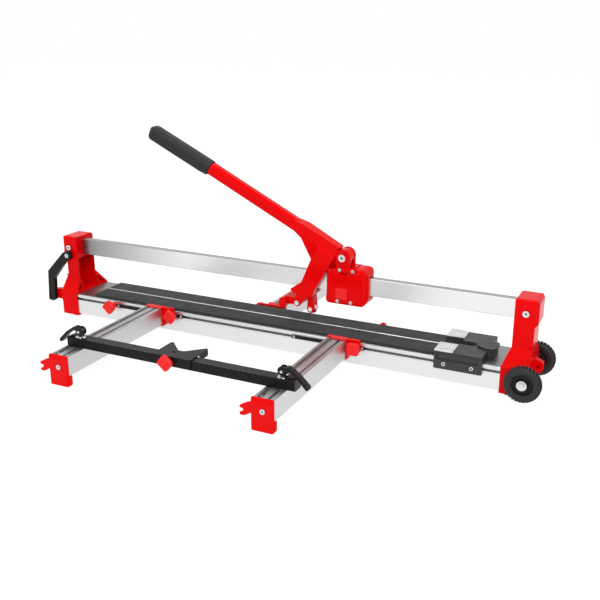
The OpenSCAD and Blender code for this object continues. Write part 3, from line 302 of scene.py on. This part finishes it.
# %% Aluminium
def extruded(name, colour, painted_shade_top_colour, roughness, along, depth, painted_shade_end=None):
    """Drawn aluminium: fine lines along one axis. Faces that point up take the darker second colour, painted
    shade for the dim tops. The last argument, (start, end, share), darkens the sides from start to end
    along X, in metres, down to that share: painted shade."""
    mat, tree, shader = start_finish(name, colour, roughness, metallic=1.0)
    lines = noise(tree, 900.0, tuple(0.01 if axis == along else 1.0 for axis in "XYZ"), detail=2.0)
    cloud = noise(tree, 5.0, tuple(0.3 if axis == along else 1.0 for axis in "XYZ"))
    side = two_tone(tree, spread(tree, cloud, 0, 1), shade(colour, 0.95), shade(colour, 1.03))
    # Painted shade: the sides darken towards the start along X.
    if painted_shade_end:
        place = tree.nodes.new("ShaderNodeTexCoord")
        length = tree.nodes.new("ShaderNodeSeparateXYZ")
        link(tree, place.outputs["Object"], length.inputs[0])
        fade = tree.nodes.new("ShaderNodeMapRange")
        fade.inputs["From Min"].default_value = painted_shade_end[0]
        fade.inputs["From Max"].default_value = painted_shade_end[1]
        link(tree, length.outputs["X"], fade.inputs["Value"])
        faded = tree.nodes.new("ShaderNodeMix")
        faded.data_type = "RGBA"
        faded.inputs["A"].default_value = (*shade(colour, painted_shade_end[2]), 1)
        link(tree, side, faded.inputs["B"])
        link(tree, fade.outputs[0], faded.inputs["Factor"])
        side = faded.outputs["Result"]
    # Painted shade: faces that point up take the darker top colour, which stands in for the dim tops.
    top = two_tone(tree, spread(tree, lines, 0, 1), shade(painted_shade_top_colour, 0.9), shade(painted_shade_top_colour, 1.1))
    normal = tree.nodes.new("ShaderNodeNewGeometry")
    parts = tree.nodes.new("ShaderNodeSeparateXYZ")
    link(tree, normal.outputs["True Normal"], parts.inputs[0])
    up = tree.nodes.new("ShaderNodeMapRange")
    up.inputs["From Min"].default_value = 0.5
    up.inputs["From Max"].default_value = 0.9
    link(tree, parts.outputs["Z"], up.inputs["Value"])
    mix = tree.nodes.new("ShaderNodeMix")
    mix.data_type = "RGBA"
    link(tree, up.outputs[0], mix.inputs["Factor"])
    link(tree, side, mix.inputs["A"])
    link(tree, top, mix.inputs["B"])
    link(tree, mix.outputs["Result"], shader.inputs["Base Color"])
    link(tree, spread(tree, lines, roughness * 0.85, roughness * 1.15), shader.inputs["Roughness"])
    surface(tree, shader, lines, depth, 0.0004)
    return mat


# The second colour of each is the darker top, painted shade.
bed_metal = extruded("bed_metal", (0.74, 0.74, 0.74), (0.27, 0.26, 0.26), 0.38, "X", 0.00002)
arm_metal = extruded("arm_metal", (0.62, 0.62, 0.63), (0.42, 0.42, 0.42), 0.42, "Y", 0.00002)
# The rail's sides darken towards their left end: painted shade.
rail_metal = extruded("rail_metal", (0.80, 0.80, 0.81), (0.34, 0.34, 0.34), 0.34, "X", 0.00003,
                      painted_shade_end=(-0.48, -0.22, 0.36))
dress(bed_metal, "base_beam")
dress(arm_metal, "arm_left", "arm_right", "arm_rear")
dress(rail_metal, "guide_rail")
print("aluminium done")

# %% Steel parts
def steel(name, colour, roughness, edge=0.0003):
    mat, tree, shader = start_finish(name, colour, roughness, metallic=1.0)
    link(tree, spread(tree, noise(tree, 400.0), roughness * 0.8, roughness * 1.3), shader.inputs["Roughness"])
    link(tree, two_tone(tree, spread(tree, noise(tree, 60.0), 0, 1), shade(colour, 0.88), shade(colour, 1.05)),
         shader.inputs["Base Color"])
    surface(tree, shader, noise(tree, 900.0), 0.00002, edge)
    return mat


zinc = steel("zinc", (0.70, 0.70, 0.72), 0.25)
ground_steel = steel("ground_steel", (0.62, 0.62, 0.64), 0.2)
dress(zinc, "frame_bolts", "axle_bolts", "carriage_screws", "roller_pins", "pivot_bolt", "lever_pins",
      "cap_screw_left", "cap_screw_right", "cap_screw_rear", "clamp_studs", "breaking_bead", "corner_plates")
dress(ground_steel, "roller_lower_left", "roller_upper_left", "roller_lower_right", "roller_upper_right",
      "cutting_wheel")
print("steel done")

# %% Black and dark parts
pad_rubber = painted("pad_rubber", (0.040, 0.040, 0.041), 0.6, 700.0, 0.00012, 0.0006, specular=0.12)
grip_rubber = painted("grip_rubber", (0.024, 0.024, 0.025), 0.5, 600.0, 0.00010, 0.0008, specular=0.18)
tyre_rubber = painted("tyre_rubber", (0.022, 0.022, 0.022), 0.5, 500.0, 0.00010, 0.0006, specular=0.22)
black_moulded = painted("black_moulded", (0.010, 0.010, 0.011), 0.32, 500.0, 0.00003, 0.0007,
                        specular=0.16)
black_enamel = painted("black_enamel", (0.008, 0.008, 0.009), 0.28, 300.0, 0.00003, 0.0006, specular=0.12)
stop_enamel = painted("stop_enamel", (0.036, 0.036, 0.038), 0.42, 500.0, 0.00008, 0.0009, specular=0.28)
dress(pad_rubber, "pads")
dress(grip_rubber, "grip", "rubber_feet")
dress(tyre_rubber, "tyre_front", "tyre_rear")
dress(black_moulded, "hub_front", "hub_rear", "carry_handle", "guide_bar_left", "guide_bar_right",
      "guide_bar_rear", "fence_plugs", "cam_left", "cam_right")
dress(black_enamel, "fence_bar", "stop_plate")
dress(stop_enamel, "corner_stop", "corner_index")
finishes = {red_enamel, red_moulded, knob_red, bed_metal, arm_metal, rail_metal, zinc, ground_steel,
            pad_rubber, grip_rubber, tyre_rubber, black_moulded, black_enamel, stop_enamel}
bare = [n for n, o in nodes.items() if not o.data.materials or o.data.materials[0] not in finishes]
print("nodes without a finish:", bare)

# %% [markdown]
# ## Helpers for small pieces
#
# Screws, sockets and scale marks are too fine for the solid model, so they are meshes made here. Round
# pieces are stacks of rings: each ring is a circle, a hexagon or a star with the same number of points, so
# one ring always joins to the next with clean four-sided faces. Flat pieces are boxes with a small bevel,
# because a real edge always catches a thin line of light. All numbers below are millimetres.

# %% Rings, boxes and the call that fixes a piece to its body
POINTS = 24
MM = 0.001
RAIL_MIDDLE_Z = 157         # middle height of the guide rail
SLOT_MIDDLE_Z = 45          # middle height of the bed's side slots
FENCE_MIDDLE_Y = -317       # middle of the fence
CAP_FACE_Y = 379.3          # outer face of an arm's end cap
# each side arm: name, its middle along the bed, and 1 for the front or -1 for the rear of the bed
ARMS = (("left", -271.5, 1), ("right", 166.5, 1), ("rear", -31.5, -1))
socket_spots, screw_spots = [], []


def circle(radius):
    return [(radius * math.cos(math.tau * i / POINTS), radius * math.sin(math.tau * i / POINTS))
            for i in range(POINTS)]


def hexagon(flat):
    """Six-sided ring; flat is the distance from the middle to a side."""
    ring = []
    for i in range(POINTS):
        turn = math.tau * i / POINTS
        side = (turn + math.pi / 6) % (math.pi / 3) - math.pi / 6
        ring.append((flat / math.cos(side) * math.cos(turn), flat / math.cos(side) * math.sin(turn)))
    return ring


def star(radius, depth, petals):
    return [((radius + depth * math.cos(petals * math.tau * i / POINTS)) * math.cos(math.tau * i / POINTS),
             (radius + depth * math.cos(petals * math.tau * i / POINTS)) * math.sin(math.tau * i / POINTS))
            for i in range(POINTS)]


def stack(bm, at, facing, rings, painted_shade_from=None):
    """Joins rings (outline, height) along the facing direction; from the given ring on, the faces and the end
    take the second material, which paints shade.
    """
    turn = Vector(facing).to_track_quat("Z", "Y").to_matrix()
    loops = []
    for outline, height in rings:
        loops.append([bm.verts.new((Vector(at) + turn @ Vector((x, y, height))) * MM) for x, y in outline])
    for k in range(len(loops) - 1):
        for i in range(POINTS):
            j = (i + 1) % POINTS
            face = bm.faces.new((loops[k][i], loops[k][j], loops[k + 1][j], loops[k + 1][i]))
            face.material_index = 1 if painted_shade_from is not None and k >= painted_shade_from else 0
            face.smooth = True
    end = bm.faces.new(loops[-1])
    end.material_index = 1 if painted_shade_from is not None else 0


def box(bm, low, high, bevel=0.0):
    made = bmesh.ops.create_cube(bm, size=1.0)["verts"]
    for v in made:
        v.co = Vector([(low[k] if v.co[k] < 0 else high[k]) * MM for k in range(3)])
    if bevel:
        edges = {e for v in made for e in v.link_edges}
        bmesh.ops.bevel(bm, geom=list(edges), offset=bevel * MM, segments=2, profile=0.6,
                        affect="EDGES")


def fix(name, bm, body, slot_name, *materials):
    """Turns the mesh into an object that rides on a body."""
    mesh = bpy.data.meshes.new(name)
    bm.normal_update()
    bm.to_mesh(mesh)
    bm.free()
    for material in materials:
        mesh.materials.append(material)
    piece = bpy.data.objects.new(name, mesh)
    bpy.context.scene.collection.objects.link(piece)
    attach(piece, body)
    return piece


# Dark steel: in the screw holes it is painted shade, and on the corner plates it prints the marks.
painted_shade_and_print_steel = steel("painted_shade_and_print_steel", (0.09, 0.09, 0.095), 0.4)
scale_dark = painted("scale_dark", (0.050, 0.048, 0.047), 0.45, 700.0, 0.00003, 0.0003, specular=0.2)
scale_light = painted("scale_light", (0.62, 0.61, 0.60), 0.5, 700.0, 0.00001, 0.0001, specular=0.3)
dash_grey = painted("dash_grey", (0.16, 0.16, 0.16), 0.5, 700.0, 0.00001, 0.0001, specular=0.2)
print("piece helpers ready")

# %% [markdown]
# ## The soft rubber grip
#
# Moulded rubber has no flat facets: its end is round like a fingertip. The solid grip has the right size but
# crisp facets, so the shown grip starts as a copy of it. A voxel remesh turns the copy into an even skin of
# small quads, and some rounds of smoothing let its edges and its end relax into round ones.

# %% Relaxed skin over the grip
def soft_skin(node, body, voxel, rounds, material):
    skin = bpy.data.objects.new(node + "_skin", nodes[node].data.copy())
    bpy.context.scene.collection.objects.link(skin)
    remesh = skin.modifiers.new("remesh", "REMESH")
    remesh.mode = "VOXEL"
    remesh.voxel_size = voxel * MM
    relax = skin.modifiers.new("relax", "SMOOTH")
    relax.factor = 0.5
    relax.iterations = rounds
    made = bpy.data.meshes.new_from_object(skin.evaluated_get(bpy.context.evaluated_depsgraph_get()))
    skin.modifiers.clear()
    skin.data = made
    made.materials.clear()
    made.materials.append(material)
    for face in made.polygons:
        face.use_smooth = True
    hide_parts(node)
    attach(skin, body)
    print(node, "skin:", len(made.polygons), "faces")


soft_skin("grip", "lever", 1.3, 24, grip_rubber)

# %% [markdown]
# ## Hexagon sockets
#
# The solid screw heads have a plain round recess. Each gets an insert that fills the recess and leaves the
# six-sided hole for the key. The walls and the floor of the hole are a darker steel: painted shade, standing
# in for the shade inside the hole.

# %% Inserts for the big heads
def socket_insert(bm, at, facing, recess, depth):
    key = recess * 0.62
    socket_spots.append(at)
    # The hexagon's walls and floor take the darker steel: painted shade.
    stack(bm, at, facing, [(circle(recess - 0.03), -depth + 0.05), (circle(recess - 0.03), -0.1),
                           (circle(recess - 0.25), 0.02), (hexagon(key * 1.06), 0.02),
                           (hexagon(key), -0.3), (hexagon(key), -depth + 0.1)], painted_shade_from=4)


FRONT, BACK = (0, -1, 0), (0, 1, 0)
frame_sockets = bmesh.new()
for x in (-525, 525):
    socket_insert(frame_sockets, (x, -33.5, RAIL_MIDDLE_Z), FRONT, 3.1, 2.4)
socket_insert(frame_sockets, (-526.5, -41.0, 139.5), FRONT, 2.5, 1.6)
fix("frame_bolt_sockets", frame_sockets, "frame", "steel_fittings", zinc, painted_shade_and_print_steel)

carriage_sockets = bmesh.new()
socket_insert(carriage_sockets, (156, -20.7, 213), FRONT, 3.75, 2.4)
for x, z, reach in ((149, 124.1, 24.0), (178, 124.1, 24.0), (152, 189, 21.4), (180, 189, 21.4)):
    socket_insert(carriage_sockets, (x, -reach, z), FRONT, 1.7, 1.3)
    socket_insert(carriage_sockets, (x, reach, z), BACK, 1.7, 1.3)
fix("carriage_screw_sockets", carriage_sockets, "carriage", "steel_fittings", zinc, painted_shade_and_print_steel)

for side, middle, flip in ARMS:
    cap_socket = bmesh.new()
    socket_insert(cap_socket, (middle, -flip * CAP_FACE_Y, 38), (0, -flip, 0), 2.5, 1.3)
    fix("cap_socket_" + side, cap_socket, "side_arm_" + side, "steel_fittings", zinc, painted_shade_and_print_steel)
print("sockets:", len(socket_spots))

# %% [markdown]
# ## Small screws
#
# Socket screws lock the rail in the tops of the towers, hold the side plates of the corner stop and the
# guide bars, and pin both ends of each arm's scale strip. They are made as one stack of rings each: a
# cylinder, a rounded rim, and the hexagon that goes down into the head.

# %% Screws with a rounded rim
def socket_screw(bm, at, facing, radius, height):
    key = radius * 0.5
    screw_spots.append(at)
    # The hexagon's walls and floor take the darker steel: painted shade.
    stack(bm, at, facing, [(circle(radius), -0.4), (circle(radius), height * 0.65),
                           (circle(radius * 0.93), height * 0.9), (circle(radius * 0.8), height),
                           (hexagon(key * 1.05), height), (hexagon(key), height - 0.25),
                           (hexagon(key), height * 0.25)], painted_shade_from=5)


UP = (0, 0, 1)
tower_screws = bmesh.new()
for x in (-516, 516):
    for y in (-21.6, 21.6):
        socket_screw(tower_screws, (x, y, 180.2), UP, 3.2, 2.0)
fix("tower_set_screws", tower_screws, "frame", "steel_fittings", zinc, painted_shade_and_print_steel)

stop_screws = bmesh.new()
for x in (385, 439):
    socket_screw(stop_screws, (x, -59.6, 44.3), FRONT, 4.2, 2.4)
    socket_screw(stop_screws, (x, 59.6, 44.3), BACK, 4.2, 2.4)
fix("corner_stop_screws", stop_screws, "frame", "steel_fittings", zinc, painted_shade_and_print_steel)

bar_screw_places = {"left": (-102.5, 64.5), "right": (-98.5, 51.5), "rear": (-98.5, 51.5)}
for side, middle, flip in ARMS:
    bar_screws = bmesh.new()
    for place in bar_screw_places[side]:
        spot = (middle + flip * place, flip * -56.6, SLOT_MIDDLE_Z)
        socket_screw(bar_screws, spot, (0, -flip, 0), 2.7, 0.9)
    fix("guide_bar_screws_" + side, bar_screws, "side_arm_" + side, "steel_fittings", zinc, painted_shade_and_print_steel)
print("small screws:", len(screw_spots))

# %% [markdown]
# ## Scales
#
# Each arm has a dark strip in a shallow groove, with a light mark for every five millimetres and plain
# numbers. The strip is a bevelled bar. The marks are bars a few hundredths of a millimetre high, which
# keeps them sharp at any distance, and the numbers are Blender's own font turned into a mesh.

# %% Arm scale strips
STRIP_TOP = 60.5
STRIP_MIDDLE, STRIP_WIDTH = -9.3, 9.6
NEAR, FAR = 358.0, 74.0
TICK = 5                    # distance between two marks
SCREW_SINK = 0.78           # the fence passes over these heads, so they sit in the strip


def number_mesh(text, height):
    curve = bpy.data.curves.new("digits", "FONT")
    curve.body = text
    curve.size = height * MM
    curve.align_x = "CENTER"
    curve.align_y = "CENTER"
    writer = bpy.data.objects.new("digits", curve)
    bpy.context.scene.collection.objects.link(writer)
    mesh = bpy.data.meshes.new_from_object(writer.evaluated_get(bpy.context.evaluated_depsgraph_get()))
    bpy.data.objects.remove(writer)
    return mesh


def arm_scale(side, middle, flip):
    def place(u, v):
        """u across the arm, v out from the bed, both in the arm's own direction."""
        return middle + flip * u, -flip * v

    def bar(bm, u0, u1, v0, v1, z0, z1, bevel=0.0):
        (xa, ya), (xb, yb) = place(u0, v0), place(u1, v1)
        box(bm, (min(xa, xb), min(ya, yb), z0), (max(xa, xb), max(ya, yb), z1), bevel)

    strip = bmesh.new()
    half = STRIP_WIDTH / 2
    bar(strip, STRIP_MIDDLE - half, STRIP_MIDDLE + half, FAR - 12, NEAR + 10,
        STRIP_TOP - 0.8, STRIP_TOP, 0.25)
    fix("scale_strip_" + side, strip, "side_arm_" + side, "scale_plates", scale_dark)
    marks = bmesh.new()
    inner = STRIP_MIDDLE + half - 0.4
    for k in range(int((NEAR - FAR) / TICK)):
        v = FAR + TICK * k
        length = 4.6 if k % 2 == 0 else 2.8
        bar(marks, inner - length, inner, v - 0.35, v + 0.35, STRIP_TOP - 0.01, STRIP_TOP + 0.03)
    for k in range(0, int((NEAR - FAR) / TICK), 10):
        digits = number_mesh(str(k // 2 + 2), 4.2)
        x, y = place(STRIP_MIDDLE - 2.5, FAR + TICK * k)
        spin = Matrix.Rotation(math.radians(90 if flip > 0 else -90), 4, "Z")
        digits.transform(Matrix.Translation((x * MM, y * MM, (STRIP_TOP + 0.03) * MM)) @ spin)
        marks.from_mesh(digits)
        bpy.data.meshes.remove(digits)
    fix("scale_marks_" + side, marks, "side_arm_" + side, "scale_plates", scale_light)
    ends = bmesh.new()
    for v in (NEAR + 6, FAR - 8):
        x, y = place(STRIP_MIDDLE, v)
        socket_screw(ends, (x, y, STRIP_TOP - SCREW_SINK), UP, 2.6, 0.9)
    fix("scale_screws_" + side, ends, "side_arm_" + side, "steel_fittings", zinc, painted_shade_and_print_steel)


for side, middle, flip in ARMS:
    arm_scale(side, middle, flip)
print("scale marks on each arm:", int((NEAR - FAR) / TICK))

# %% Marks on the fence and the corner plates
fence_low, fence_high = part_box("fence_bar")
fence_marks = bmesh.new()
front_y = fence_low[1] * 1000
top_z = fence_high[2] * 1000
for k in range(38):
    x = -240 + 10 * k
    if -88 < x < 4:
        continue
    box(fence_marks, (x, front_y + 1.4, top_z - 0.01), (x + 4.6, front_y + 2.3, top_z + 0.03))
fix("fence_marks", fence_marks, "fence", "scale_plates", dash_grey)

plate_low, plate_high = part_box("corner_plates")
plate_top = plate_high[2] * 1000
plate_marks = bmesh.new()
for side in (-1, 1):
    for k in range(6):
        x = plate_low[0] * 1000 + 4 + 5.5 * k
        length = 6.0 if k % 2 else 3.5
        outer = side * (plate_high[1] * 1000 - 3.0 - 2.2 * k)
        inner = outer - side * length
        low_z, high_z = plate_top - 0.01, plate_top + 0.03
        box(plate_marks, (x, min(outer, inner), low_z), (x + 0.8, max(outer, inner), high_z))
        box(plate_marks, (x + 2.2, side * 24 - 1.6, low_z), (x + 2.8, side * 24 + 1.6, high_z))
fix("corner_plate_marks", plate_marks, "frame", "scale_plates", painted_shade_and_print_steel)
print("fence and plate marks done")

# %% [markdown]
# ## Clamp fittings on the fence
#
# Under each cam lever a toothed steel washer sits on the fence, and a black wedge plate spreads the cam's
# pressure towards the end of the fence. The washer is one more stack of rings, with a star outline.

# %% Star washers and wedge plates
for side, x, out in (("left", -262.3, -1), ("right", 175.7, 1)):
    washer = bmesh.new()
    rings = [(star(9.6, 1.7, 6), 0.0), (star(9.6, 1.7, 6), 0.9), (star(8.6, 0.8, 6), 1.7),
             (circle(3.0), 1.9), (circle(2.6), 1.0)]
    stack(washer, (x, FENCE_MIDDLE_Y, top_z), UP, rings)
    fix("star_washer_" + side, washer, "fence", "steel_fittings", zinc)
    wedge = bmesh.new()
    corners = [(7.6, -9.5), (7.6, 9.5), (12, 8.2), (23.4, 1.6), (23.4, -1.6), (12, -8.2)]
    low = [wedge.verts.new(((x + out * u) * MM, (FENCE_MIDDLE_Y + v) * MM, top_z * MM)) for u, v in corners]
    high = [wedge.verts.new(((x + out * u) * MM, (FENCE_MIDDLE_Y + v) * MM,
                             (top_z + (3.6 if u < 20 else 1.4)) * MM)) for u, v in corners]
    wedge.faces.new(high)
    wedge.faces.new(list(reversed(low)))
    for a in range(6):
        b = (a + 1) % 6
        wedge.faces.new((low[a], low[b], high[b], high[a]))
    bmesh.ops.recalc_face_normals(wedge, faces=wedge.faces)
    bmesh.ops.bevel(wedge, geom=wedge.edges[:], offset=0.0005, segments=2, profile=0.6, affect="EDGES")
    fix("wedge_plate_" + side, wedge, "fence", "black_plastic", black_moulded)
fittings = [o.name for o in bpy.data.objects if o.name.startswith(("star_washer_", "wedge_plate_"))]
print("clamp fittings:", fittings)

# %% [markdown]
# ## The carriage's raised square
#
# The square on the carriage's front is a separate moulded cap in the same brighter red as the knobs. A
# bevelled box, slightly larger than the solid square below it, gives its soft rim.

# %% Cap over the raised square
button = bmesh.new()
box(button, (145.6, -27.2, 128.6), (171.4, -23.2, 151.9), 1.6)
fix("carriage_button", button, "carriage", "red_knobs", knob_red)
print("carriage cap done")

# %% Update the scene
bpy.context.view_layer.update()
